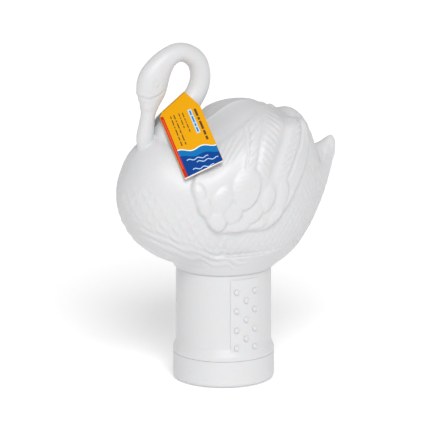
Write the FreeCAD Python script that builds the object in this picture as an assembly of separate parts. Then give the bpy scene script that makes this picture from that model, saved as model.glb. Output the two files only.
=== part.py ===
import FreeCAD, Part
import math
import os

# A floating chlorine dispenser for a swimming pool. A hollow swan is the float; a dosing tube
# for large tablets plugs into its base, sealed by an O-ring, and a threaded cap closes the tube.
# Millimetres. +Z is up, the swan faces -Y, and the origin is the centre of the cap's flat base.

V = FreeCAD.Vector
Z_AXIS = V(0, 0, 1)

# Driving dimensions
TABLET_DIAMETER = 75.0      # standard large pool tablet, which sets the bore
TABLET_PLAY = 4.5           # radial room round a tablet
TUBE_WALL = 2.0
TUBE_RADIUS = TABLET_DIAMETER / 2 + TABLET_PLAY + TUBE_WALL
TUBE_TOP = 107.0            # shoulder that carries the swan
CAP_RADIUS = 46.6
CAP_HEIGHT = 25.0
CAP_FLOOR = 3.0
CAP_EDGE_RADIUS = 4.0
CAP_BORE_RADIUS = 45.0
PART_GAP = 0.1              # air left between faces that meet across a joint

# Gasket and threaded neck
GASKET_BORE_RADIUS = 39.6
GASKET_RADIUS = 43.4
GASKET_THICKNESS = 2.0
NECK_BOTTOM = CAP_FLOOR + GASKET_THICKNESS + 2 * PART_GAP
NECK_RADIUS = 42.4
NECK_BORE_RADIUS = 40.2
THREAD_LEAD = 12.0
THREAD_STARTS = 2
THREAD_TURNS = 0.95
THREAD_BASE = 2.4           # ridge width at its root
THREAD_CREST = 1.4          # ridge width at its crest
THREAD_FIRST = 7.4          # height where the neck's ridges begin
NECK_CREST_RADIUS = 43.9
CAP_CREST_RADIUS = 43.0
THREAD_ROOT_OVERLAP = 0.6   # how far a ridge reaches into its wall

# Tube
TUBE_BORE_RADIUS = TUBE_RADIUS - TUBE_WALL
COLLAR_BOTTOM = CAP_HEIGHT + 0.3
COLLAR_TOP = 29.0
FLARE_TOP = 36.3
SPIGOT_RADIUS = 41.0
SPIGOT_BORE_RADIUS = 37.0
SPIGOT_TOP = 122.5
SPIGOT_CHAMFER = 1.5
O_RING_GROOVE = (112.0, 115.0)
O_RING_GROOVE_RADIUS = 38.6

# Dosing panels: a raised pad on each side of the tube with three staggered columns of holes
PANEL_BOTTOM = 31.5
PANEL_TOP = 102.5
PANEL_RADIUS = TUBE_RADIUS + 1.0
PANEL_HALF_ANGLE = 19.0
COLUMN_ANGLE = 12.0
OUTER_ROWS = (91.0, 73.0, 54.5, 37.5)
MIDDLE_ROWS = (82.5, 64.0, 46.0)
PLUG_HEAD_RADIUS = 2.5
PLUG_HEAD_HEIGHT = 1.9
PLUG_EDGE_RADIUS = 1.5
PLUG_STEM_RADIUS = 1.55
PLUG_STEM_LENGTH = 4.0
PLUG_HOLE_RADIUS = 1.6

# Swan
SWAN_WALL = 1.8
SOCKET_RADIUS = 41.2
SOCKET_OUTSIDE_RADIUS = 43.2
SOCKET_TOP = 125.0
BASE_SKIRT_RADIUS = 45.8    # underside lip where the swan meets the tube
BASE_SKIRT_TOP_RADIUS = 58.0
BASE_SKIRT_TOP = 128.0

# Body sections: place along Y, lowest and highest Z, half width, Z of the widest point, and
# the exponent that squares the back's curve (2 is an ellipse)
BODY_SECTIONS = (
    (-105.0, 175.0, 189.0, 7.0, 182.0, 2.0),
    (-101.0, 160.0, 203.0, 20.0, 182.0, 1.9),
    (-91.0, 141.0, 223.0, 34.0, 182.0, 1.9),
    (-74.0, 125.5, 236.0, 46.5, 182.0, 1.85),
    (-50.0, 114.0, 236.0, 57.0, 181.0, 1.85),
    (-20.0, 104.0, 244.0, 62.0, 180.0, 2.2),
    (12.0, 96.0, 259.0, 63.0, 180.0, 2.4),
    (38.0, 101.0, 257.0, 59.0, 182.0, 2.4),
    (60.0, 113.5, 246.5, 50.0, 184.0, 2.2),
    (72.0, 125.5, 244.0, 42.0, 184.0, 2.1),
    (82.0, 137.5, 231.0, 34.0, 184.5, 2.0),
    (91.0, 150.5, 214.0, 25.5, 185.5, 2.0),
    (99.0, 163.0, 213.0, 17.5, 188.0, 2.0),
    (107.0, 178.0, 215.5, 9.5, 196.0, 2.0),
    (115.0, 200.0, 214.5, 4.0, 207.5, 2.0),
)
BELLY_EXPONENT = 2.3
BODY_RING_POINTS = 28

# Neck, head and bill: Y and Z of the centre line, half width across X and half depth
NECK_SECTIONS = (
    (-64.0, 214.0, 13.0, 11.0),
    (-61.5, 232.0, 13.0, 12.5),
    (-54.0, 246.0, 11.5, 11.2),
    (-44.0, 256.0, 9.8, 9.7),
    (-34.5, 266.0, 8.9, 9.0),
    (-27.2, 278.0, 8.5, 8.6),
    (-24.6, 290.0, 8.5, 8.6),
    (-27.5, 302.5, 8.6, 8.8),
    (-35.8, 311.0, 8.8, 8.9),
    (-47.0, 314.2, 8.8, 8.9),
    (-58.5, 310.0, 9.2, 9.6),
    (-67.8, 301.5, 10.0, 11.6),
    (-74.0, 291.5, 10.5, 13.8),
    (-76.3, 281.0, 9.6, 13.2),
    (-77.0, 271.0, 7.6, 9.6),
    (-78.2, 260.0, 6.4, 7.0),
    (-80.0, 248.0, 6.6, 7.6),
    (-81.5, 236.0, 7.0, 8.4),
    (-80.0, 222.0, 6.0, 7.0),
)
HEAD_SECTION = 11           # place in the list where the head begins
NECK_RING_POINTS = 12

# Folded wings: centre, half sizes and tilt of the pad on each flank
WING_CENTRE = V(40.0, 8.0, 203.0)
WING_HALF_SIZES = (25.0, 62.0, 45.0)
WING_PITCH = 24.0           # rear end raised, about X
WING_LEAN = -14.0           # top leaned inwards, about Y

# Hang tag: a card folded over the neck, its two leaves spread over the breast
FOLD_CENTRE = V(0, -52.2, 268.4)
FOLD_PITCH = 35.5           # slope of the fold along the neck
LEAF_SPREAD = 51.0          # each leaf's angle from the median plane
LEAF_THICKNESS = 0.5
LEAF_CLEARANCE = 0.3        # between the two leaves at the fold
# Outline of a leaf: along the fold, and down from it
LEAF_OUTLINE = ((-14.0, 0.0), (13.2, 0.0), (12.0, 20.5), (-9.5, 76.5), (-45.5, 64.0), (-20.5, 3.0))


def turned(profile):
    """Solid of revolution about Z from (radius, height) corners."""
    corners = [V(radius, 0, height) for radius, height in profile]
    face = Part.Face(Part.makePolygon(corners + corners[:1]))
    return face.revolve(V(0, 0, 0), Z_AXIS, 360)


def circular_edges(shape, radius, height):
    """Edges that are circles of one radius at one height."""
    found = []
    for edge in shape.Edges:
        if not isinstance(edge.Curve, Part.Circle):
            continue
        centre_height = edge.Curve.Center.z
        if abs(edge.Curve.Radius - radius) < 0.01 and abs(centre_height - height) < 0.01:
            found.append(edge)
    return found


def thread_ridge(root_radius, crest_radius, first_height, start_angle):
    """One helical ridge; its crest is outside the root on a neck and inside it in a cap."""
    outwards = 1 if crest_radius > root_radius else -1
    buried_radius = root_radius - outwards * THREAD_ROOT_OVERLAP
    corners = [
        V(buried_radius, 0, -THREAD_BASE / 2),
        V(root_radius, 0, -THREAD_BASE / 2),
        V(crest_radius, 0, -THREAD_CREST / 2),
        V(crest_radius, 0, THREAD_CREST / 2),
        V(root_radius, 0, THREAD_BASE / 2),
        V(buried_radius, 0, THREAD_BASE / 2),
    ]
    profile = Part.makePolygon(corners + corners[:1])
    path = Part.makeHelix(THREAD_LEAD, THREAD_LEAD * THREAD_TURNS, root_radius)
    ridge = Part.Wire(path).makePipeShell([profile], True, True)
    ridge.rotate(V(0, 0, 0), Z_AXIS, start_angle)
    ridge.translate(V(0, 0, first_height))
    return ridge


def with_thread(shape, root_radius, crest_radius, first_height):
    """The shape with every start of its thread fused on."""
    for start in range(THREAD_STARTS):
        angle = 360.0 * start / THREAD_STARTS
        shape = shape.fuse(thread_ridge(root_radius, crest_radius, first_height, angle))
    return shape


def screw_cap():
    """Plain round cap with an inside thread."""
    cap = turned([
        (0, 0), (CAP_RADIUS, 0), (CAP_RADIUS, CAP_HEIGHT), (CAP_BORE_RADIUS, CAP_HEIGHT),
        (CAP_BORE_RADIUS, CAP_FLOOR + 1.2), (CAP_BORE_RADIUS - 1.2, CAP_FLOOR), (0, CAP_FLOOR),
    ])
    cap = cap.makeFillet(CAP_EDGE_RADIUS, circular_edges(cap, CAP_RADIUS, 0))
    half_pitch = THREAD_LEAD / THREAD_STARTS / 2
    return with_thread(cap, CAP_BORE_RADIUS, CAP_CREST_RADIUS, THREAD_FIRST + half_pitch)


def cap_gasket():
    """Flat rubber washer between the cap's floor and the neck's rim."""
    bottom = CAP_FLOOR + PART_GAP
    top = bottom + GASKET_THICKNESS
    return turned([
        (GASKET_BORE_RADIUS, bottom), (GASKET_RADIUS, bottom),
        (GASKET_RADIUS, top), (GASKET_BORE_RADIUS, top),
    ])


def tube_blank():
    """The tube turned about its axis: neck, collar, barrel and closed spigot."""
    groove_bottom, groove_top = O_RING_GROOVE
    return turned([
        (NECK_BORE_RADIUS, NECK_BOTTOM), (NECK_RADIUS, NECK_BOTTOM), (NECK_RADIUS, COLLAR_BOTTOM),
        (CAP_RADIUS, COLLAR_BOTTOM), (CAP_RADIUS, COLLAR_TOP), (TUBE_RADIUS, FLARE_TOP),
        (TUBE_RADIUS, TUBE_TOP), (SPIGOT_RADIUS, TUBE_TOP), (SPIGOT_RADIUS, groove_bottom),
        (O_RING_GROOVE_RADIUS, groove_bottom), (O_RING_GROOVE_RADIUS, groove_top),
        (SPIGOT_RADIUS, groove_top), (SPIGOT_RADIUS, SPIGOT_TOP - SPIGOT_CHAMFER),
        (SPIGOT_RADIUS - SPIGOT_CHAMFER, SPIGOT_TOP), (0, SPIGOT_TOP),
        (0, SPIGOT_TOP - TUBE_WALL), (SPIGOT_BORE_RADIUS, SPIGOT_TOP - TUBE_WALL),
        (SPIGOT_BORE_RADIUS, TUBE_TOP + 1.0), (TUBE_BORE_RADIUS, TUBE_TOP - 4.0),
        (TUBE_BORE_RADIUS, COLLAR_TOP + 1.5), (NECK_BORE_RADIUS, COLLAR_BOTTOM + 1.5),
    ])


def dosing_panel():
    """Raised pad on the +X side that carries the holes."""
    height = PANEL_TOP - PANEL_BOTTOM
    corner = V(0, 0, PANEL_BOTTOM)
    wedge = Part.makeCylinder(PANEL_RADIUS, height, corner, Z_AXIS, 2 * PANEL_HALF_ANGLE)
    wedge.rotate(V(0, 0, 0), Z_AXIS, -PANEL_HALF_ANGLE)
    core = Part.makeCylinder(TUBE_RADIUS - TUBE_WALL / 2, height, corner)
    return wedge.cut(core)


def hole_places():
    """Angle and height of each dosing hole on one panel, row by row from the top."""
    places = []
    for row, height in enumerate(OUTER_ROWS):
        places.append((COLUMN_ANGLE, height))
        places.append((-COLUMN_ANGLE, height))
        if row < len(MIDDLE_ROWS):
            places.append((0.0, MIDDLE_ROWS[row]))
    return places


def dosing_tube(sides):
    """The tube with its thread, both panels and all dosing holes."""
    tube = with_thread(tube_blank(), NECK_RADIUS, NECK_CREST_RADIUS, THREAD_FIRST)
    for turn in sides.values():
        panel = dosing_panel()
        panel.rotate(V(0, 0, 0), Z_AXIS, turn)
        tube = tube.fuse(panel)
        for angle, height in hole_places():
            start = V(TUBE_BORE_RADIUS - 3, 0, height)
            hole = Part.makeCylinder(PLUG_HOLE_RADIUS, 9.0, start, V(1, 0, 0))
            hole.rotate(V(0, 0, 0), Z_AXIS, turn + angle)
            tube = tube.cut(hole)
    return tube


def dosing_plug(angle, height):
    """Push-in plug: rounded head on the panel and a stem through the wall."""
    crown = PLUG_STEM_LENGTH + PLUG_HEAD_HEIGHT
    plug = turned([
        (0, 0), (PLUG_STEM_RADIUS, 0), (PLUG_STEM_RADIUS, PLUG_STEM_LENGTH),
        (PLUG_HEAD_RADIUS, PLUG_STEM_LENGTH), (PLUG_HEAD_RADIUS, crown), (0, crown),
    ])
    plug = plug.makeFillet(PLUG_EDGE_RADIUS, circular_edges(plug, PLUG_HEAD_RADIUS, crown))
    plug.rotate(V(0, 0, 0), V(0, 1, 0), 90)
    plug.translate(V(PANEL_RADIUS + PART_GAP - PLUG_STEM_LENGTH, 0, height))
    plug.rotate(V(0, 0, 0), Z_AXIS, angle)
    return plug


def float_o_ring():
    """Rubber ring that seals the spigot in the swan's socket."""
    groove_bottom, groove_top = O_RING_GROOVE
    section_radius = (SOCKET_RADIUS - O_RING_GROOVE_RADIUS) / 2 - 0.05
    centre_radius = (SOCKET_RADIUS + O_RING_GROOVE_RADIUS) / 2
    height = (groove_bottom + groove_top) / 2
    return Part.makeTorus(centre_radius, section_radius, V(0, 0, height), Z_AXIS)


def power(value, exponent):
    """Power that keeps the sign of its base."""
    return math.copysign(abs(value) ** exponent, value)


def closed_curve(points):
    """Smooth closed wire through a ring of points."""
    curve = Part.BSplineCurve()
    curve.interpolate(points, PeriodicFlag=True)
    return Part.Wire(curve.toShape())


def ring_angles(count):
    """Evenly spaced angles for one full turn."""
    return [2 * math.pi * index / count for index in range(count)]


def body_ring(section, inset):
    """Closed curve round the body in the plane of one section."""
    place, lowest, highest, half_width, widest, back_exponent = section
    points = []
    for turn in ring_angles(BODY_RING_POINTS):
        above = math.sin(turn) >= 0
        exponent = back_exponent if above else BELLY_EXPONENT
        reach = (highest - widest if above else widest - lowest) - inset
        across = (half_width - inset) * power(math.cos(turn), 2 / exponent)
        up = widest + reach * power(math.sin(turn), 2 / exponent)
        points.append(V(across, place, up))
    return closed_curve(points)


def body(inset):
    """The swan's body as a loft from breast to tail, drawn in by the inset."""
    first, last = BODY_SECTIONS[0], BODY_SECTIONS[-1]
    sections = [(first[0] + inset,) + first[1:]]
    sections += BODY_SECTIONS[1:-1]
    sections.append((last[0] - inset,) + last[1:])
    return Part.makeLoft([body_ring(section, inset) for section in sections], True)


def neck_ring(index, inset):
    """Ellipse square to the neck's centre line at one of its sections."""
    along, up, half_width, half_depth = NECK_SECTIONS[index]
    before = NECK_SECTIONS[max(index - 1, 0)]
    after = NECK_SECTIONS[min(index + 1, len(NECK_SECTIONS) - 1)]
    direction = V(0, after[0] - before[0], after[1] - before[1]).normalize()
    depth_axis = direction.cross(V(1, 0, 0))
    points = []
    for turn in ring_angles(NECK_RING_POINTS):
        across = V((half_width - inset) * math.cos(turn), 0, 0)
        points.append(V(0, along, up) + across + depth_axis * ((half_depth - inset) * math.sin(turn)))
    return closed_curve(points)


def neck(inset):
    """Neck, head and bill along the S-shaped centre line, as one loft up to the head and one on."""
    rings = [neck_ring(index, inset) for index in range(len(NECK_SECTIONS))]
    below_head = Part.makeLoft(rings[:HEAD_SECTION + 1], True)
    head_and_bill = Part.makeLoft(rings[HEAD_SECTION:], True)
    return below_head.fuse(head_and_bill)


def wing(side, inset):
    """One folded wing: a stretched ball sunk into the flank. side is 1 or -1."""
    pad = Part.makeSphere(1.0)
    stretch = FreeCAD.Matrix()
    stretch.scale(*[half - inset for half in WING_HALF_SIZES])
    pad = pad.transformGeometry(stretch)
    pad.rotate(V(0, 0, 0), V(1, 0, 0), WING_PITCH)
    pad.rotate(V(0, 0, 0), V(0, 1, 0), side * WING_LEAN)
    pad.translate(V(side * WING_CENTRE.x, WING_CENTRE.y, WING_CENTRE.z))
    return pad


def base_skirt(inset):
    """Round lower end of the body that lands on the tube's shoulder."""
    return turned([
        (0, TUBE_TOP), (BASE_SKIRT_RADIUS - inset, TUBE_TOP),
        (BASE_SKIRT_TOP_RADIUS - inset, BASE_SKIRT_TOP), (0, BASE_SKIRT_TOP),
    ])


def swan_volume(inset):
    """All of the swan as one closed volume."""
    volume = body(inset)
    for piece in (neck(inset), wing(1, inset), wing(-1, inset), base_skirt(inset)):
        volume = volume.fuse(piece)
    below = Part.makeBox(300, 300, 60, V(-150, -150, TUBE_TOP - 60))
    return volume.cut(below)


def swan_float():
    """Blow-moulded swan: a thin shell with a round socket in its base."""
    shell = swan_volume(0)
    hollow = swan_volume(SWAN_WALL)
    floor = Part.makeCylinder(100, SWAN_WALL, V(0, 0, TUBE_TOP))
    shell = shell.cut(hollow.cut(floor))
    socket_height = SOCKET_TOP - TUBE_TOP
    collar = Part.makeCylinder(SOCKET_OUTSIDE_RADIUS, socket_height, V(0, 0, TUBE_TOP))
    bore = Part.makeCylinder(SOCKET_RADIUS, socket_height + 2, V(0, 0, TUBE_TOP - 1))
    return shell.fuse(collar).cut(bore)


def tag_leaf(side):
    """One leaf of the folded card. side is 1 for the swan's left."""
    corners = [V(along, -down, 0) for along, down in LEAF_OUTLINE]
    sheet = Part.Face(Part.makePolygon(corners + corners[:1]))
    leaf = sheet.extrude(V(0, 0, LEAF_THICKNESS))
    leaf.translate(V(0, -LEAF_CLEARANCE, 0))
    leaf.rotate(V(0, 0, 0), V(1, 0, 0), 90 - LEAF_SPREAD)
    leaf.rotate(V(0, 0, 0), Z_AXIS, 90)
    leaf.rotate(V(0, 0, 0), V(1, 0, 0), FOLD_PITCH)
    if side < 0:
        leaf = leaf.mirror(V(0, 0, 0), V(1, 0, 0))
    leaf.translate(FOLD_CENTRE)
    return leaf


def main():
    os.makedirs("parts", exist_ok=True)
    sides = {"left": 0.0, "right": 180.0}
    pieces = {
        "screw_cap": screw_cap(),
        "cap_gasket": cap_gasket(),
        "dosing_tube": dosing_tube(sides),
        "float_o_ring": float_o_ring(),
        "swan_float": swan_float(),
        "tag_front_leaf": tag_leaf(1),
        "tag_back_leaf": tag_leaf(-1),
    }
    for side, turn in sides.items():
        for index, (angle, height) in enumerate(hole_places(), 1):
            pieces[f"dosing_plug_{side}_{index:02d}"] = dosing_plug(turn + angle, height)
    for name, shape in pieces.items():
        print(name, shape.isValid(), len(shape.Solids), round(shape.Volume / 1000, 2), "cm3")
        shape.exportStep(f"parts/{name}.step")


main()
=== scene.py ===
import bmesh
import bpy
import numpy as np
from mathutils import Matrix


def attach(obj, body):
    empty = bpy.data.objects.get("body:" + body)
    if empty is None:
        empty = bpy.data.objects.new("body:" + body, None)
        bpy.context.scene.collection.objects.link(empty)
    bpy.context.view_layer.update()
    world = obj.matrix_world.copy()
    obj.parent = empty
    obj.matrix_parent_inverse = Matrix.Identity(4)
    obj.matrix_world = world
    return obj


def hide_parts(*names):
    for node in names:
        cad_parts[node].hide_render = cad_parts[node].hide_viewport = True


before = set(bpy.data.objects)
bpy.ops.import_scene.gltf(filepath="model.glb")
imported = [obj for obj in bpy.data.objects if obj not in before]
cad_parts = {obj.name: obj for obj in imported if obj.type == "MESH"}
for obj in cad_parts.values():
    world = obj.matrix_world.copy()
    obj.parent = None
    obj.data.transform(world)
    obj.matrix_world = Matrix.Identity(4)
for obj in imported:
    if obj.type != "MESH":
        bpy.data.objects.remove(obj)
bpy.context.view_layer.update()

import openvdb
from mathutils import Matrix, Vector

MM = 0.001


# Small mathematics

def smoothstep(value, start, end):
    """0 at start and beyond it, 1 at end and beyond it. A start above the end makes a falling step."""
    t = np.clip((value - start) / (end - start), 0.0, 1.0)
    return t * t * (3 - 2 * t)


def smooth_min(a, b, k):
    h = np.clip(0.5 + 0.5 * (b - a) / k, 0.0, 1.0)
    return b * (1 - h) + a * h - k * h * (1 - h)


def bump(distance, width):
    return np.exp(-(distance / width) ** 2)


def curve_through(x, xs, ys):
    """Smooth curve through the points (xs, ys), read at x."""
    slopes = np.gradient(ys, xs)
    i = np.clip(np.searchsorted(xs, x) - 1, 0, len(xs) - 2)
    h = xs[i + 1] - xs[i]
    t = (x - xs[i]) / h
    return ((2 * t**3 - 3 * t**2 + 1) * ys[i] + (t**3 - 2 * t**2 + t) * h * slopes[i]
            + (3 * t**2 - 2 * t**3) * ys[i + 1] + (t**3 - t**2) * h * slopes[i + 1])


def spline(points, closed=False, steps=10):
    """Catmull-Rom curve through rows of numbers."""
    p = np.array(points, float)
    if closed:
        q = np.vstack([p[-1], p, p[0], p[1]])
    else:
        q = np.vstack([2 * p[0] - p[1], p, 2 * p[-1] - p[-2]])
    t = np.linspace(0, 1, steps, endpoint=False)[:, None]
    out = []
    for i in range(1, len(q) - 2):
        a, b, c, d = q[i - 1], q[i], q[i + 1], q[i + 2]
        out.append(0.5 * (2 * b + (c - a) * t + (2 * a - 5 * b + 4 * c - d) * t**2
                          + (3 * b - a - 3 * c + d) * t**3))
    if not closed:
        out.append(q[-2:-1])
    return np.vstack(out)


def distance_to(s, t, path, closed=False):
    """Distance from every point to a path."""
    ends = np.roll(path, -1, 0) if closed else path[1:]
    starts = path if closed else path[:-1]
    best = np.full(s.shape, 1e9)
    for (s0, t0), (s1, t1) in zip(starts, ends):
        ds, dt = s1 - s0, t1 - t0
        length = max(np.hypot(ds, dt), 1e-9)
        k = np.clip(((s - s0) * ds + (t - t0) * dt) / length**2, 0, 1)
        best = np.minimum(best, np.hypot(s - s0 - k * ds, t - t0 - k * dt))
    return best


def outside(s, t, path):
    """Signed distance to a closed path: negative inside."""
    distance = distance_to(s, t, path, closed=True)
    inside = np.zeros(s.shape, bool)
    for (s0, t0), (s1, t1) in zip(path, np.roll(path, -1, 0)):
        if t0 != t1:
            inside ^= ((t0 > t) != (t1 > t)) & (s < (s1 - s0) * (t - t0) / (t1 - t0) + s0)
    return np.where(inside, -distance, distance)


# The swan's body and neck, in millimetres: X to its left, Y to the tail, Z up

# Y, bottom, top, half width, height of the widest point, roundness of the back
BODY = np.array([
    (-105.5, 182, 182, 0.5, 182, 1.9), (-101, 160, 203, 20, 182, 1.9), (-91, 141, 223, 34, 182, 1.9),
    (-74, 125.5, 236, 46.5, 182, 1.85), (-50, 114, 236, 57, 181, 1.85), (-20, 104, 242.5, 62, 180, 2.4),
    (12, 96, 257.5, 63, 180, 2.7), (36, 101, 257.5, 59.5, 182, 2.4), (50, 107, 250.5, 55, 183, 2.3),
    (61, 114, 246.5, 49.5, 184, 2.2), (67, 120, 248.3, 45.5, 184, 2.1), (74, 127.5, 245.5, 40.5, 184, 2.1),
    (80, 135, 238, 35.5, 184.5, 2), (85, 142, 223, 31, 185, 2), (89, 148, 212, 27.5, 185, 2),
    (95, 157, 209.5, 21.5, 186, 2), (107, 178, 214.5, 9.5, 196, 2),
    (113.5, 195, 216, 5, 205, 2), (116, 207, 208, 0.5, 207.5, 2)], float)
BELLY_ROUNDNESS = 2.3
BODY_ENDS = 6.0             # value of the body's field beyond its first and last section
LEAST_SQUARE = 0.3          # keeps the squares of the sizes above zero between the sections
# Y, Z, half width, half depth
NECK = (
    (-64, 214, 13, 11), (-61.5, 232, 13, 12.5), (-54, 246, 11.5, 11.2), (-44, 256, 9.8, 9.7),
    (-34.3, 266, 9.3, 10), (-26.6, 278, 9, 9.9), (-24.2, 290, 8.8, 9.6), (-27.3, 302.5, 8.8, 9.3),
    (-35.8, 311, 8.8, 8.9), (-47, 314.2, 8.8, 8.9), (-58.2, 310, 9.2, 9.9), (-66.7, 301.5, 10, 12.7),
    (-72.8, 291.5, 10.5, 15.2), (-75.2, 281, 9.8, 14.5), (-76.4, 271, 7.8, 10.2), (-78.2, 260, 6.4, 7),
    (-80, 248, 6.6, 7.6), (-81.5, 236, 7, 8.4), (-80, 222, 6, 7))
TUBE_TOP = 107.15
# Height and radius of the round skirt that lands on the tube
SKIRT = ((107, 45.8), (128, 58))
SKIRT_BLEND = 2.5
# Grid of the skin's field: the full one gives just under 200,000 triangles
VOXEL = 1.22
FIELD_BAND = 3.0            # voxels on either side of the surface that the field keeps

# The wings, in wing_place's s and t. A wing lies on the flank, which leans in by this angle
FLANK_LEAN = np.radians(20)
WING_OUTLINE = spline((
    (-10, 213.5), (-25.5, 205.5), (-42, 192.5), (-55, 179), (-60, 168), (-58, 157), (-55, 145), (-50, 140),
    (-46, 132), (-37, 125.5), (-23, 123), (-7, 123), (8, 122), (18, 125.5), (27, 133), (35, 142), (41.5, 151),
    (48, 160), (54, 169), (60, 178), (66.5, 193), (67.5, 208), (66, 224), (58, 236), (46, 241), (34, 239),
    (21, 232), (9, 225), (-2, 219)), closed=True, steps=4)
LEADING_EDGE = np.array([(-42, 192), (-10, 213.5), (-2, 219), (9, 225), (21, 231), (34, 236.0)])
WING_THICK = 3.4
WING_SWELL = 7.5            # what the pad gains towards the rear of its top
WING_SINK = 12              # the pad keeps this far from the middle plane
WING_BLEND = 1.6
RIM_BLEND = 2.6
# Lines from top to bottom between and along the long feathers
FRONT_SHAFT = spline(((1.5, 218), (-1.5, 207), (-6, 194), (-11, 179), (-15.5, 168)), steps=5)
FURROW = spline(((29, 234), (19, 218), (10.5, 203), (4.5, 187), (0.5, 174)), steps=5)
VALLEY = spline(((45, 234), (47, 224), (41.5, 212), (35, 200), (27.5, 188), (20.5, 175), (16, 161)), steps=5)
REAR_SHAFT = spline(((58, 228), (57, 216), (50.5, 201), (41.5, 183), (30, 165)), steps=5)
REAR_EDGE = spline(((62, 224), (60, 211), (54, 195), (45, 182), (34, 164), (27, 150)), steps=5)
SMALL_SHAFT = spline(((1, 172), (2, 162), (-3, 150)), steps=5)
# Where the long feathers come out from under the small ones
FEATHER_ROOTS = (158, 172)
# Small feathers at the wing's foot: centre s and t, half length, half width, lean, edge height, crown height
COVERTS = (
    (-54, 164, 10, 5.5, 100, 0.3, 0.7), (-50, 149, 11, 6, 98, 0.5, 0.9), (-33, 154, 14, 9.5, 55, 0.8, 1.1),
    (-39, 135.5, 9.8, 9, 120, 1.5, 1.4), (-24, 141, 10.5, 9.5, 60, 1.0, 1.2),
    (-18, 128.5, 12, 5.6, 3, 0.9, 1.0), (-3, 138, 11.5, 7.5, 40, 1.1, 1.2), (2, 127.5, 10, 3.8, 12, 0.7, 0.8),
    (12, 149.5, 13.5, 7, 65, 1.0, 1.2), (20, 133, 12, 4.4, 40, 0.6, 0.8), (28, 152, 15, 6.5, 78, 0.6, 1.0),
    (37, 147, 12, 4.4, 54, 0.4, 0.6), (-10, 161, 20, 13.5, 72, 1.7, 1.3))

# Relief off the wings: width and pitch of the feathers in their rows
BREAST_FEATHER = (9.6, 7.6)
FLANK_FEATHER = (6.4, 5.2)
SCALE_MEAN = 0.6            # the rows' mean level, taken off so that they don't swell the body
BREAST_RADIUS = 82          # turns an angle round the breast into a run along it
BELLY_FOLD_PITCH = 6.9
# The crest fades out 6 to 12 mm above this line, where the neck begins: its height at Y 0, and its slope
CREST_LINE = (252.7, 0.545)
EYE = (-74.5, 288.5)
NOSTRIL = (-82.0, 266.0)
BILL_LINE = np.array([(-90.0, 280.0), (-81.0, 277.3), (-73.0, 280.0), (-67.0, 283.5)])

RASTER_STEP = 0.25
RASTER_S, RASTER_T = np.meshgrid(
    np.arange(-75, 82, RASTER_STEP), np.arange(110, 248, RASTER_STEP), indexing="ij")


def wing_place(x, y, z):
    """Where a point lies on the wing's own plan: s towards the tail, t up the flank."""
    return y, z * np.cos(FLANK_LEAN) - x * np.sin(FLANK_LEAN)


def read_raster(raster, s, t):
    """The raster at any s and t, between its points."""
    i = np.clip((s - RASTER_S[0, 0]) / RASTER_STEP, 0, raster.shape[0] - 1.001)
    j = np.clip((t - RASTER_T[0, 0]) / RASTER_STEP, 0, raster.shape[1] - 1.001)
    i0, j0 = i.astype(int), j.astype(int)
    u, v = i - i0, j - j0
    return ((1 - u) * (1 - v) * raster[i0, j0] + u * (1 - v) * raster[i0 + 1, j0]
            + (1 - u) * v * raster[i0, j0 + 1] + u * v * raster[i0 + 1, j0 + 1])


def ribs(run, pitch, height):
    """Barbs of a feather: round ribs with narrow furrows between them."""
    phase = 2 * np.pi * run / pitch
    return height * (np.sin(phase) + 0.25 * np.sin(2 * phase + 1.2))


def long_feathers(s, t, rim):
    """Barbs, crowns that lap one another, shafts and furrows of the long feathers."""
    front_s, furrow_s, valley_s, rear_s = (
        np.interp(t, line[::-1, 1], line[::-1, 0]) for line in (FRONT_SHAFT, FURROW, VALLEY, REAR_EDGE))
    grown = smoothstep(t, *FEATHER_ROOTS)
    before_shaft = front_s - s
    in_first = smoothstep(before_shaft, 0.5, 2.5)
    in_front = smoothstep(s - front_s, 1.5, 3.5) * smoothstep(furrow_s - s, -0.5, 2)
    in_middle = smoothstep(s - furrow_s, -0.5, 2) * smoothstep(valley_s - s, 0, 9)
    in_rear = smoothstep(s - valley_s, 0.5, 7) * smoothstep(rear_s - s, 0.5, 3)
    in_last = smoothstep(s - rear_s, 0.5, 3)

    first_barbs = in_first * smoothstep(before_shaft, 1, 6) * smoothstep(before_shaft, 27, 18)
    first_barbs *= smoothstep(t, 178, 192)
    height = ribs(t - 0.9 * s + 0.012 * before_shaft**2, 6.0, 0.2) * first_barbs
    height += ribs(t - 0.72 * s, 6.2, 0.3) * in_front * grown
    to_valley = valley_s - 9 - s
    middle_barbs = smoothstep(to_valley, -3.5, 1.5) * (0.3 + 0.7 * bump(to_valley - 4.5, 4.5))
    height += ribs(t + 1.25 * s, 9.0, 0.45) * in_middle * grown * middle_barbs
    past_valley = s - valley_s
    rear_barbs = smoothstep(past_valley, 6.5, 9.5) * smoothstep(past_valley, 20, 15)
    rear_barbs *= smoothstep(t, 162, 172) * smoothstep(t, 226, 214)
    height += ribs(t - 0.5 * s, 5.0, 0.5) * rear_barbs
    height += ribs(t - 1.4 * s, 8.0, 0.1) * in_last * grown
    height *= smoothstep(rim, 0, 5) * smoothstep(t - 0.1 * s, 234, 220)

    crowns = 0.9 * in_front + 1.1 * in_middle + 0.7 * in_rear + 0.5 * in_last
    height += grown * crowns * smoothstep(t, 234, 214)
    height -= 1.2 * bump(distance_to(s, t, FURROW), 3.4) * grown * smoothstep(t, 226, 210)
    height += 0.5 * bump(distance_to(s, t, FRONT_SHAFT), 1.2) * smoothstep(t, 166, 172)
    height -= 0.6 * bump(s - front_s - 2.3, 1.0) * grown * smoothstep(t, 219, 215)
    height -= 2.1 * bump(distance_to(s, t, VALLEY), 7.0) * grown * smoothstep(t, 234, 222)
    height += 0.35 * bump(distance_to(s, t, REAR_SHAFT), 2.2) * grown
    height -= 0.7 * bump(distance_to(s, t, REAR_EDGE), 1.8) * smoothstep(t, 150, 165)
    return height


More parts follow.
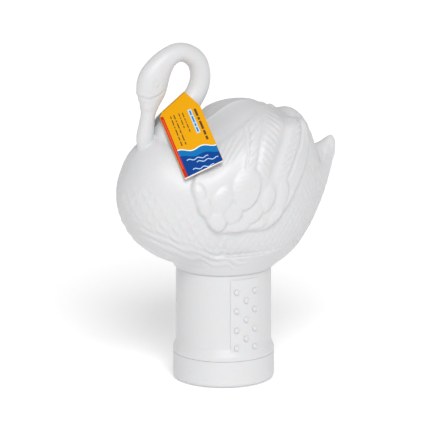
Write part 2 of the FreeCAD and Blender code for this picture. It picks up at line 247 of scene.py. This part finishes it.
def small_feather(s, t, length, width, lean, edge, crown):
    """One round feather about the origin: its height, and where it covers what lies below."""
    c, n = np.cos(np.radians(lean)), np.sin(np.radians(lean))
    u, v = s * c + t * n, t * c - s * n
    rho = np.hypot(u / length, v / width)
    from_edge = (1 - rho) * width
    inside = smoothstep(from_edge, -0.7, 1.5)
    lap = np.clip((0.6 * s - 0.8 * t) / length, -0.9, 0.9)
    height = inside * (0.85 * edge * (1 + lap) + 1.25 * crown * np.clip(1 - rho**2, 0, 1))
    height += inside * ribs(u + 0.5 * np.abs(v), 4.2, 0.1) * smoothstep(from_edge, 1, 4)
    # A crescent inside its rear edge
    height += 0.32 * bump((0.62 - rho) * width, 1.3) * smoothstep(0.8 * s + 0.2 * t, 0, 0.7 * width)
    return height, inside


def wing_relief(s, t, rim):
    """Height of the moulded feathers over the wing's plain surface, in mm."""
    small = np.zeros(s.shape)
    cover = np.zeros(s.shape)
    for centre_s, centre_t, *feather in COVERTS:
        height, inside = small_feather(s - centre_s, t - centre_t, *feather)
        small = np.maximum(small, height)
        cover = np.maximum(cover, inside)
    # The small round feathers lie over the roots of the long ones
    height = long_feathers(s, t, rim) * (1 - cover) + small
    return height + 0.5 * bump(distance_to(s, t, SMALL_SHAFT), 1.3)


def scales(u, v, width, pitch):
    """Rows of overlapping round feathers, from 0 in the furrows to 1 at their free lower edges."""
    out = np.full(u.shape, 0.35)
    for step in (1, 2):
        row = np.floor(v / pitch) + step
        shift = 0.5 * np.mod(row, 2)
        centre = (np.round(u / width - shift) + shift) * width
        a = (u - centre) / (0.54 * width)
        b = (row * pitch - v) / (1.12 * pitch)
        rho = np.hypot(a, np.maximum(b, 0))
        inside = smoothstep(1 - rho, 0.0, 0.22)
        out = out * (1 - inside) + inside * (0.35 + 0.65 * smoothstep(rho, 0.1, 0.9))
    return out


def body_values(x, y, z):
    """Field of the body: negative inside, and growing about as fast as the distance."""
    ys, bottoms, tops, half_widths, middles, backs = BODY.T
    middle = curve_through(y, ys, middles)
    up, down, wide = (np.sqrt(np.maximum(curve_through(y, ys, size**2), LEAST_SQUARE))
                      for size in (tops - middles, middles - bottoms, half_widths))
    above = z >= middle
    tall = np.where(above, up, down)
    power = np.where(above, curve_through(y, ys, backs), BELLY_ROUNDNESS)
    r = ((np.abs(x) / wide) ** power + (np.abs(z - middle) / tall) ** power) ** (1 / power)
    value = (r - 1) * np.minimum(wide, tall)
    return np.where((y < ys[0]) | (y > ys[-1]), BODY_ENDS, value)


def neck_values(x, y, z):
    """Field of the neck and head. x runs along the first axis, y the second and z the third."""
    chain = spline(NECK, steps=12)
    step = np.gradient(chain[:, :2], axis=0)
    step /= np.linalg.norm(step, axis=1)[:, None]
    y2, z2 = y[0], z[0]
    best = np.full(y2.shape, 1e9)
    wide = np.ones(y2.shape)
    small = np.ones(y2.shape)
    for (cy, cz, half_width, half_depth), (ty, tz) in zip(chain, step):
        across = -tz * (y2 - cy) + ty * (z2 - cz)
        forward = ty * (y2 - cy) + tz * (z2 - cz)
        m = np.hypot(across / half_depth, forward / (0.5 * (half_width + half_depth)))
        closer = m < best
        best = np.where(closer, m, best)
        wide = np.where(closer, half_width, wide)
        small = np.where(closer, min(half_width, half_depth), small)
    return (np.hypot(x / wide, best) - 1) * small


def skirt_values(x, y, z):
    heights, radii = zip(*SKIRT)
    return np.maximum(np.hypot(x, y) - np.interp(z, heights, radii), z - heights[-1])


def wing_values(x, y, z, body):
    """Field of the wing: a pad over the body, cut to its outline and thinned at its shoulder."""
    s, t = wing_place(x, y, z)
    rim = read_raster(WING_RIM, s, t)
    rear = smoothstep(s, 14, 34)
    shoulder = 0.55 * rear * smoothstep(t, 212, 228) + 0.35 * rear * smoothstep(t, 226, 238)
    thick = WING_THICK + WING_SWELL * smoothstep(s, 20, 56) * smoothstep(t, 185, 224)
    thick = thick * (1 - shoulder) * (0.3 + 0.7 * smoothstep(read_raster(FROM_LEADING_EDGE, s, t), 0, 20))
    thick = thick * smoothstep(x, 14, 34)
    pad = -smooth_min(thick - body, -rim, RIM_BLEND)
    return np.maximum(pad, WING_SINK - x)


def swan_mesh(voxel):
    """Points and quads of the swan's skin before its relief, in mm."""
    xs = np.arange(0, 80, voxel)
    ys = np.arange(-110, 121, voxel)
    zs = np.arange(104, 328, voxel)
    x, y, z = np.meshgrid(xs, ys, zs, indexing="ij")
    body = body_values(x, y, z)
    gx, gy, gz = np.gradient(body, voxel)
    body = body / np.clip(np.sqrt(gx**2 + gy**2 + gz**2), 0.35, 1.6)
    del gx, gy, gz
    value = smooth_min(body, skirt_values(x, y, z), SKIRT_BLEND)
    value = smooth_min(value, wing_values(x, y, z, body), WING_BLEND)
    # The neck's root runs smoothly into the body, and the bill only touches the breast
    value = smooth_min(value, neck_values(x, y, z), 1.4 + 9 * smoothstep(y, -74, -62))
    value = np.maximum(value, TUBE_TOP - z)
    value = np.concatenate([value[:0:-1], value], axis=0)
    value = np.clip(value / voxel, -FIELD_BAND, FIELD_BAND).astype(np.float32)
    grid = openvdb.FloatGrid(FIELD_BAND)
    grid.copyFromArray(value, ijk=(0, 0, 0), tolerance=0.0)
    points, quads = grid.convertToQuads(0.0)
    return points.astype(float) * voxel + np.array([-xs[-1], ys[0], zs[0]]), quads


def point_normals(points, quads, rounds):
    """Normals at the points, spread to their neighbours this many times."""
    a, b, c, d = (points[quads[:, k]] for k in range(4))
    face = np.cross(c - a, d - b)
    normals = np.zeros_like(points)
    for k in range(4):
        np.add.at(normals, quads[:, k], face)
    for _ in range(rounds):
        mean = normals[quads].mean(axis=1)
        normals = np.zeros_like(points)
        for k in range(4):
            np.add.at(normals, quads[:, k], mean)
    return normals / np.maximum(np.linalg.norm(normals, axis=1), 1e-9)[:, None]


def breast_relief(x, y, z):
    """Rows of feathers that sink towards the tail, and run together into wavy folds below."""
    turn = np.arctan2(x, -y)
    run = turn * BREAST_RADIUS
    row = z + 0.28 * y + 0.2 * np.minimum(y + 52, 0)
    uneven = np.sin(0.19 * run + 0.4) * np.sin(0.13 * row + 1.7 + 0.05 * run)
    feathers = scales(run + 0.9 * np.sin(row / 5.1), row + 0.9 * np.sin(run / 9.3), *BREAST_FEATHER)
    feathered = smoothstep(row, 118, 127) * smoothstep(row, 168, 152) * smoothstep(y, -5, -30)
    height = (0.85 + 0.45 * uneven) * (feathers - SCALE_MEAN) * feathered
    folds = row + 1.9 * np.sin(run / 5.4) * smoothstep(turn, 0.3, 0.8) + 0.7 * np.sin(run / 2.9 + row / 4)
    folded = smoothstep(row, 90, 98) * smoothstep(row, 132, 119) * smoothstep(y, 10, -20)
    height += 0.42 * np.sin(2 * np.pi * folds / BELLY_FOLD_PITCH) * (1 + 0.3 * uneven) * folded
    # Calmer where the mould parts
    return height * (0.3 + 0.7 * smoothstep(x, 4, 20))


def flank_relief(y, z):
    """Small feathers under the wing."""
    side = smoothstep(y, -30, -12) * smoothstep(y, 96, 80) * smoothstep(z, 122, 130)
    return 0.7 * (scales(y, z, *FLANK_FEATHER) - SCALE_MEAN) * side * smoothstep(z, 212, 190)


def tail_relief(y, z):
    """Long streaks to the tip, crossed by faint arcs."""
    along = (y - 60) * 0.62 + (z - 140) * 0.78
    across = -(y - 60) * 0.78 + (z - 140) * 0.62
    tail = smoothstep(y, 66, 80) * smoothstep(z, 140, 160)
    return (ribs(across, 6.0, 0.14) * smoothstep(along, 0, 16) + ribs(along, 8.5, 0.12)) * tail


def seam_relief(x, y, z):
    """Crest along the back where the mould parts, and the mould's seam over the rest."""
    crest = smoothstep(y, -50, -26) * smoothstep(y, 40, 12) * smoothstep(z, 215, 235)
    crest *= smoothstep(CREST_LINE[0] + CREST_LINE[1] * y - z, -12, -6)
    return crest * (3.0 * np.exp(-x / 9.0) + 0.75 * bump(x, 1.0)) + 0.22 * bump(x, 0.8) * (1 - crest)


def head_relief(x, y, z):
    """Eye, line of the bill and nostril."""
    to_eye = np.hypot(y - EYE[0], z - EYE[1])
    cheek = smoothstep(x, 4, 7) * (z > 262) * (y < -50)
    height = cheek * (0.5 * bump(to_eye, 1.4) - 0.5 * bump(to_eye - 3.0, 1.3))
    to_line = distance_to(y, z, BILL_LINE)
    below = z < np.interp(y, BILL_LINE[:, 0], BILL_LINE[:, 1])
    bill = smoothstep(z, 260, 264) * (z < 290) * smoothstep(y, -64, -68)
    height += bill * (0.5 * bump(to_line, 1.1) - 0.6 * bump(to_line - 2.4, 1.4) * below)
    to_nostril = np.hypot(y - NOSTRIL[0], (z - NOSTRIL[1]) * 1.3)
    return height + bill * 0.8 * bump(to_nostril, 3.4)


def swan_relief(points):
    """How far each point of the skin moves out, in mm."""
    x, y, z = np.abs(points[:, 0]), points[:, 1], points[:, 2]
    s, t = wing_place(x, y, z)
    rim = -read_raster(WING_RIM, s, t)
    on_wing = smoothstep(rim, -0.5, 2.0) * smoothstep(x, 14, 26)
    off_wing = 1 - smoothstep(rim, -3.0, 0.5) * smoothstep(x, 10, 20)
    height = read_raster(WING_RELIEF, s, t) * on_wing
    height += (breast_relief(x, y, z) + flank_relief(y, z) + tail_relief(y, z)) * off_wing
    height += seam_relief(x, y, z) + head_relief(x, y, z)
    # Blow-moulded walls are never quite even
    height += 0.12 * np.sin(points[:, 0] / 9.1 + 0.4) * np.sin(y / 11.3) * np.sin(z / 8.7 + 1.1)
    return height * smoothstep(z, 112, 122)


# Materials

WHITE = (0.6, 0.602, 0.608)


def new_material(name, color, roughness, **inputs):
    material = bpy.data.materials.new(name)
    material.use_nodes = True
    shader = material.node_tree.nodes["Principled BSDF"]
    shader.inputs["Base Color"].default_value = (*color, 1)
    shader.inputs["Roughness"].default_value = roughness
    for key, number in inputs.items():
        shader.inputs[key.replace("_", " ")].default_value = number
    return material, material.node_tree, shader


def add_grain(tree, shader, coarse, fine, strength, rough_low, rough_high):
    """Uneven gloss and a fine skin, both in the object's own coordinates."""
    nodes, links = tree.nodes, tree.links
    place = nodes.new("ShaderNodeTexCoord")
    cloud = nodes.new("ShaderNodeTexNoise")
    cloud.inputs["Scale"].default_value = coarse
    cloud.inputs["Detail"].default_value = 3
    spread = nodes.new("ShaderNodeMapRange")
    spread.inputs["From Min"].default_value = 0.35
    spread.inputs["From Max"].default_value = 0.65
    spread.inputs["To Min"].default_value = rough_low
    spread.inputs["To Max"].default_value = rough_high
    grain = nodes.new("ShaderNodeTexNoise")
    grain.inputs["Scale"].default_value = fine
    grain.inputs["Detail"].default_value = 2
    lift = nodes.new("ShaderNodeBump")
    lift.inputs["Strength"].default_value = strength
    lift.inputs["Distance"].default_value = 0.0004
    links.new(place.outputs["Object"], cloud.inputs["Vector"])
    links.new(place.outputs["Object"], grain.inputs["Vector"])
    links.new(cloud.outputs["Fac"], spread.inputs["Value"])
    links.new(spread.outputs["Result"], shader.inputs["Roughness"])
    links.new(grain.outputs["Fac"], lift.inputs["Height"])
    links.new(lift.outputs["Normal"], shader.inputs["Normal"])


def plastic(name, rough_low, rough_high, strength=0.25):
    material, tree, shader = new_material(
        name, WHITE, rough_low, Subsurface_Weight=0.12, Subsurface_Scale=0.003, IOR=1.5)
    add_grain(tree, shader, 22, 900, strength, rough_low, rough_high)
    return material


def rubber(name):
    material, tree, shader = new_material(name, (0.022, 0.022, 0.023), 0.7)
    add_grain(tree, shader, 60, 2500, 0.5, 0.62, 0.8)
    return material


def card_colour(name, color, roughness=0.48):
    material, tree, shader = new_material(name, color, roughness, Specular_IOR_Level=0.07)
    add_grain(tree, shader, 90, 1800, 0.12, roughness - 0.05, roughness + 0.08)
    return material


def add_mesh(name, points, faces, materials, face_materials=None):
    """A smooth piece from points in millimetres."""
    mesh = bpy.data.meshes.new(name)
    corners = [tuple(point) for point in np.asarray(points, float) * MM]
    mesh.from_pydata(corners, [], [tuple(int(i) for i in face) for face in faces])
    for material in materials:
        mesh.materials.append(material)
    if face_materials is not None:
        mesh.polygons.foreach_set("material_index", np.asarray(face_materials, np.int32))
    mesh.polygons.foreach_set("use_smooth", [True] * len(mesh.polygons))
    mesh.update()
    piece = bpy.data.objects.new(name, mesh)
    bpy.context.collection.objects.link(piece)
    return piece


def paint(node, material):
    """Give a node of the CAD its material."""
    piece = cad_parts[node]
    if not piece.material_slots:
        piece.data.materials.append(None)
    for place in piece.material_slots:
        place.link = "OBJECT"
        place.material = material


SWAN_PLASTIC = plastic("white swan plastic", 0.36, 0.46)
TUBE_PLASTIC = plastic("white tube plastic", 0.36, 0.46)
CAP_PLASTIC = plastic("white cap plastic", 0.38, 0.47, 0.35)
PLUG_PLASTIC = plastic("white plug plastic", 0.36, 0.45)
RUBBER = rubber("black rubber")
CARD = card_colour("orange-yellow print", (0.71, 0.33, 0.002))
# Painted shade for the strip along the fold, not an ink of the card
FOLD_PAINTED_SHADE = card_colour("shaded crease", (0.36, 0.17, 0.012))
CARD_BACK = card_colour("white card", (0.8, 0.8, 0.79), 0.45)
INK_RED = card_colour("red print", (0.5, 0.022, 0.006))
INK_PALE_RED = card_colour("pale red print", (0.68, 0.085, 0.04))
INK_DARK = card_colour("brown print", (0.11, 0.05, 0.02))
INK_PALE = card_colour("pale blue print", (0.42, 0.6, 0.8))
INK_BLUE = card_colour("blue print", (0.003, 0.15, 0.41))
INK_NAVY = card_colour("dark blue print", (0.002, 0.048, 0.24))
INK_WHITE = card_colour("white print", (0.85, 0.85, 0.85))
# The card's inks, and last the painted shade along the fold
CARD_INKS_AND_FOLD_SHADE = [INK_RED, INK_PALE_RED, INK_DARK, INK_PALE, INK_BLUE, INK_NAVY, INK_WHITE, FOLD_PAINTED_SHADE]

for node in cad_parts:
    if node.startswith("dosing_plug"):
        paint(node, PLUG_PLASTIC)
paint("dosing_tube", TUBE_PLASTIC)
paint("screw_cap", CAP_PLASTIC)
paint("cap_gasket", RUBBER)
paint("float_o_ring", RUBBER)

# The swan's skin
WING_RIM = outside(RASTER_S, RASTER_T, WING_OUTLINE)
FROM_LEADING_EDGE = distance_to(RASTER_S, RASTER_T, LEADING_EDGE)
WING_RELIEF = wing_relief(RASTER_S, RASTER_T, -WING_RIM)
skin_points, skin_quads = swan_mesh(VOXEL)
skin_normals = point_normals(skin_points, skin_quads, 2)
if np.einsum("ij,ij->i", skin_points - skin_points.mean(axis=0), skin_normals).mean() < 0:
    skin_quads = skin_quads[:, ::-1]
    skin_normals = -skin_normals
skin_points = skin_points + skin_normals * swan_relief(skin_points)[:, None]
swan = add_mesh("swan_skin", skin_points, skin_quads, [SWAN_PLASTIC])
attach(swan, "float")
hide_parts("swan_float")

# The hang tag: a card folded over the neck, in leaf coordinates along its fold and down from it
FOLD_CENTRE = np.array([0.0, -52.2, 268.4])
FOLD_PITCH = np.radians(35.5)
LEAF_SLOPE = np.radians(39.0)
CARD_THICK = 0.5
FOLD_GAP = 0.3
SHARP_EDGE = np.radians(40)
FOLD_FRONT, FOLD_REAR = -14, 13.6
LEAF_OUTLINE = ((FOLD_FRONT, 0), (FOLD_REAR, 0), (13.8, 21.5), (-9.7, 77.8), (-47, 65.7), (-20.4, 3))
LEAF_MIDDLE = np.array([-10.0, 34.0])
LEAF_RINGS = 14
BORDER_STEP = 3.5
# Just inside the outline
PRINT_AREA = ((-13.8, 0.3), (13.4, 0.3), (13.6, 21.4), (-9.8, 77.5), (-46.8, 65.5), (-20.2, 3.2))
# Height of the lowest ink over the card, and of each layer of ink over the last
FIRST_INK, INK_LAYER = 0.04, 0.03
# Size of the printed card, across it from the striped side and up from its free end
CARD_WIDE, CARD_LONG = 38.8, 64.0
WORD_GAP = 1.3


def leaf_point(side, along, down, lift):
    """A point of one leaf: along the fold, down the card, and out from its inner face, in mm."""
    down = down + FOLD_GAP
    c, s = np.cos(LEAF_SLOPE), np.sin(LEAF_SLOPE)
    cp, sp = np.cos(FOLD_PITCH), np.sin(FOLD_PITCH)
    point = FOLD_CENTRE + along * np.array([0, cp, sp]) + down * np.array([c, s * sp, -s * cp])
    point = point + lift * np.array([s, -c * sp, c * cp])
    return point * np.array([side, 1, 1])


def card_bow(along, down):
    """The card springs out a little below the fold and curls back at its free end."""
    spring = 1.1 * np.sin(np.pi * min(max(down, 0) / 78, 1))
    return spring - 0.4 * ((along + 18) / 32) ** 2 * min(down / 40, 1)


def card_to_leaf(w, l):
    """A place on the printed card in leaf coordinates."""
    far_right, low_right, low_left, far_left = (np.array(corner, float) for corner in LEAF_OUTLINE[2:])
    q, f = w / CARD_WIDE, l / CARD_LONG
    left, right = low_left + f * (far_left - low_left), low_right + f * (far_right - low_right)
    return left + q * (right - left)


def clip_polygon(points, outline):
    """points cut to the convex outline, or an empty list where nothing is left."""
    out = [np.array(p, float) for p in points]
    corners = np.array(outline, float)
    centre = corners.mean(axis=0)
    for a, b in zip(corners, np.roll(corners, -1, 0)):
        normal = np.array([-(b - a)[1], (b - a)[0]])
        if np.dot(centre - a, normal) < 0:
            normal = -normal
        kept = []
        for j, p in enumerate(out):
            q = out[(j + 1) % len(out)]
            dp, dq = np.dot(p - a, normal), np.dot(q - a, normal)
            if dp >= 0:
                kept.append(p)
            if dp * dq < 0:
                kept.append(p + (q - p) * dp / (dp - dq))
        out = kept
        if len(out) < 3:
            return []
    return out


class Print:
    """Flat printed shapes gathered into one piece of a leaf."""

    def __init__(self, side, inks):
        self.side = side
        self.inks = inks
        self.points, self.faces, self.ink = [], [], []

    def shape(self, outline, ink, layer):
        """outline in card coordinates: across the card, and along it."""
        self.leaf_shape([card_to_leaf(w, l) for w, l in outline], ink, layer)

    def leaf_shape(self, outline, ink, layer):
        """outline in leaf coordinates: along the fold, and down from it."""
        leaf = clip_polygon(outline, PRINT_AREA)
        if not leaf:
            return
        lift = CARD_THICK + FIRST_INK + INK_LAYER * layer
        start = len(self.points)
        for u, v in [np.mean(leaf, axis=0)] + leaf:
            self.points.append(leaf_point(self.side, u, v, lift + card_bow(u, v)))
        count = len(leaf)
        for k in range(count):
            self.faces.append((start, start + 1 + k, start + 1 + (k + 1) % count))
            self.ink.append(self.inks.index(ink))

    def line(self, start, end, width, ink, layer, pieces=8):
        """A straight printed line, in pieces that follow the card's bow."""
        a, b = np.array(start, float), np.array(end, float)
        normal = np.array([-(b - a)[1], (b - a)[0]]) / np.linalg.norm(b - a) * width / 2
        for k in range(pieces):
            p, q = a + (b - a) * k / pieces, a + (b - a) * (k + 1) / pieces
            self.shape([p - normal, q - normal, q + normal, p + normal], ink, layer)

    def dashes(self, start, end, width, ink, layer, lengths):
        """A row of bars of these lengths, with gaps, in place of words."""
        a, b = np.array(start, float), np.array(end, float)
        unit = (b - a) / (sum(lengths) + WORD_GAP * (len(lengths) - 1))
        at = 0.0
        for length in lengths:
            self.line(a + unit * at, a + unit * (at + length), width, ink, layer, 3)
            at += length + WORD_GAP

    def water(self, near, far, sway, ink, layer):
        """All below a wavy surface that runs from one height at the stripe to another across the card."""
        across = np.linspace(3.4, 39.4, 25)
        surface = near + (far - near) * (across - across[0]) / 36 + sway * np.sin(across / 3.4)
        for w0, w1, l0, l1 in zip(across[:-1], across[1:], surface[:-1], surface[1:]):
            self.shape([(w0, 0.8), (w1, 0.8), (w1, l1), (w0, l0)], ink, layer)

    def ripple(self, start, height, ink, layer):
        path = [(start + k, height - 0.2 * k + 0.8 * np.sin(k * 0.75)) for k in np.linspace(0, 20, 25)]
        for p, q in zip(path[:-1], path[1:]):
            self.line(p, q, 0.9, ink, layer, 1)

    def build(self, name, body):
        piece = add_mesh(name, self.points, self.faces, self.inks, self.ink)
        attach(piece, body)


def clean_normals(piece):
    work = bmesh.new()
    work.from_mesh(piece.data)
    bmesh.ops.recalc_face_normals(work, faces=work.faces)
    work.to_mesh(piece.data)
    work.free()
    piece.data.set_sharp_from_angle(angle=SHARP_EDGE)


def card(side, name, body, node):
    """One leaf of the folded card: printed outer face, white inner face and edge."""
    outline = [np.array(p, float) for p in LEAF_OUTLINE]
    border = []
    for p, q in zip(outline, outline[1:] + outline[:1]):
        n = max(2, int(np.linalg.norm(q - p) / BORDER_STEP))
        border += [p + (q - p) * i / n for i in range(n)]
    count = len(border)
    face_size = 1 + LEAF_RINGS * count
    points, faces, ink = [], [], []
    for base, lift, side_ink in ((0, CARD_THICK, 0), (face_size, 0.0, 1)):
        places = [LEAF_MIDDLE] + [LEAF_MIDDLE + (p - LEAF_MIDDLE) * ring / LEAF_RINGS
                                  for ring in range(1, LEAF_RINGS + 1) for p in border]
        points += [leaf_point(side, u, v, lift + card_bow(u, v)) for u, v in places]
        for k in range(count):
            after = (k + 1) % count
            faces.append((base, base + 1 + k, base + 1 + after))
            for ring in range(LEAF_RINGS - 1):
                a = base + 1 + ring * count
                faces.append((a + k, a + count + k, a + count + after, a + after))
            ink += [side_ink] * LEAF_RINGS
    top, low = face_size - count, 2 * face_size - count
    for k in range(count):
        after = (k + 1) % count
        faces.append((top + k, low + k, low + after, top + after))
        ink.append(1)
    piece = add_mesh(name, points, faces, [CARD, CARD_BACK], ink)
    clean_normals(piece)
    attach(piece, body)
    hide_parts(node)


def card_print(side, name, body):
    """What is printed on one leaf. Places are across the card and up from its free end."""
    sheet = Print(side, CARD_INKS_AND_FOLD_SHADE)
    # Stripe down one long side
    sheet.line((1.9, 64), (1.9, -1), 3.0, INK_RED, 0, 20)
    sheet.line((1.9, 61), (1.9, 10), 1.1, INK_PALE_RED, 1, 20)
    # Bars in place of the small print, the heading and its pale panel
    sheet.dashes((9.6, 62), (9.2, 30.5), 1.0, INK_DARK, 0, (3, 6, 2, 7, 4, 5))
    sheet.dashes((12.9, 62.5), (13, 30.5), 1.0, INK_DARK, 0, (5, 2, 6, 4, 7, 3))
    sheet.dashes((17.7, 62.5), (17.4, 46.5), 0.9, INK_DARK, 0, (4, 2, 6, 3))
    sheet.dashes((21, 62), (21, 41), 0.9, INK_DARK, 0, (6, 3, 2, 5, 4))
    sheet.line((28, 63.5), (28, 37), 3.5, INK_PALE, 0, 8)
    sheet.dashes((28, 62), (28, 38.5), 1.3, INK_BLUE, 1, (5, 7, 3, 5))
    sheet.dashes((33, 62.5), (33.2, 27.5), 2.1, INK_DARK, 0, (8, 3, 9, 5, 4))
    # Plain blue water under a slanting surface, with ripples
    sheet.water(27.2, 20.6, 1.5, INK_WHITE, 1)
    sheet.water(26.2, 19.6, 1.5, INK_BLUE, 2)
    sheet.water(20.6, 12.4, 1.2, INK_NAVY, 3)
    for start, height in ((8, 15.6), (16, 10.4), (10, 5.2)):
        sheet.ripple(start, height, INK_PALE, 4)
    # Unprinted margin along the free end
    sheet.line((-2, 0.3), (41, 0.3), 1.5, INK_WHITE, 6, 14)
    # Painted shade: a darker strip along the fold, where the card bends over away from the light
    for k in range(12):
        u = FOLD_FRONT + (FOLD_REAR - FOLD_FRONT) * k / 12
        sheet.leaf_shape([(u, 0.2), (u + 2.3, 0.2), (u + 2.3, 1.0), (u, 1.0)], FOLD_PAINTED_SHADE, 0)
    sheet.build(name, body)


card(1, "tag_front_card", "tag_front", "tag_front_leaf")
card(-1, "tag_back_card", "tag_back", "tag_back_leaf")
card_print(1, "tag_front_print", "tag_front")
card_print(-1, "tag_back_print", "tag_back")

# Floor, camera and lights
FLOOR_REACH, FLOOR_HEIGHT = 4000, -0.6
STUDIO, _, studio_shader = new_material("studio white", (0.93, 0.93, 0.93), 0.95)
studio_shader.inputs["Specular IOR Level"].default_value = 0.1
studio_shader.inputs["Emission Color"].default_value = (1, 1, 1, 1)
studio_shader.inputs["Emission Strength"].default_value = 0.2
floor_corners = [(FLOOR_REACH * a, FLOOR_REACH * b, FLOOR_HEIGHT)
                 for a, b in ((-1, -1), (1, -1), (1, 1), (-1, 1))]
floor = add_mesh("studio_floor", floor_corners, [(0, 1, 2, 3)], [STUDIO])

# Camera axes: right, up, and towards the camera. Lengths in metres, sensor in millimetres
RIGHT = Vector((0.462, 0.887, 0.0)).normalized()
TOWARDS = Vector((0.857, -0.446, 0.259)).normalized()
UP = TOWARDS.cross(RIGHT).normalized()
TOWARDS = RIGHT.cross(UP).normalized()
CAMERA_DISTANCE = 16.0
VIEW_WIDTH = 0.3982
SENSOR_WIDTH = 36
TARGET = RIGHT * -0.00787 + UP * 0.1482
camera = bpy.data.objects.new("camera", bpy.data.cameras.new("camera"))
bpy.context.collection.objects.link(camera)
turn = Matrix((RIGHT, UP, TOWARDS)).transposed().to_4x4()
camera.matrix_world = Matrix.Translation(TARGET + TOWARDS * CAMERA_DISTANCE) @ turn
camera.data.sensor_width = SENSOR_WIDTH
camera.data.lens = SENSOR_WIDTH * CAMERA_DISTANCE / VIEW_WIDTH
camera.data.clip_end = 60
bpy.context.scene.camera = camera

KEY_DIRECTION = TOWARDS + UP * 0.42 + RIGHT * 0.1
KEY_STRENGTH = 2.1
KEY_SPREAD = np.radians(26)
WORLD_STRENGTH = 0.54
sun = bpy.data.lights.new("key", "SUN")
sun.energy = KEY_STRENGTH
sun.angle = KEY_SPREAD
lamp = bpy.data.objects.new("key", sun)
bpy.context.collection.objects.link(lamp)
lamp.rotation_euler = KEY_DIRECTION.to_track_quat("Z", "Y").to_euler()
world = bpy.data.worlds.new("studio")
world.use_nodes = True
world.node_tree.nodes["Background"].inputs["Color"].default_value = (1, 1, 1, 1)
world.node_tree.nodes["Background"].inputs["Strength"].default_value = WORLD_STRENGTH
bpy.context.scene.world = world
bpy.context.scene.view_settings.view_transform = "Standard"
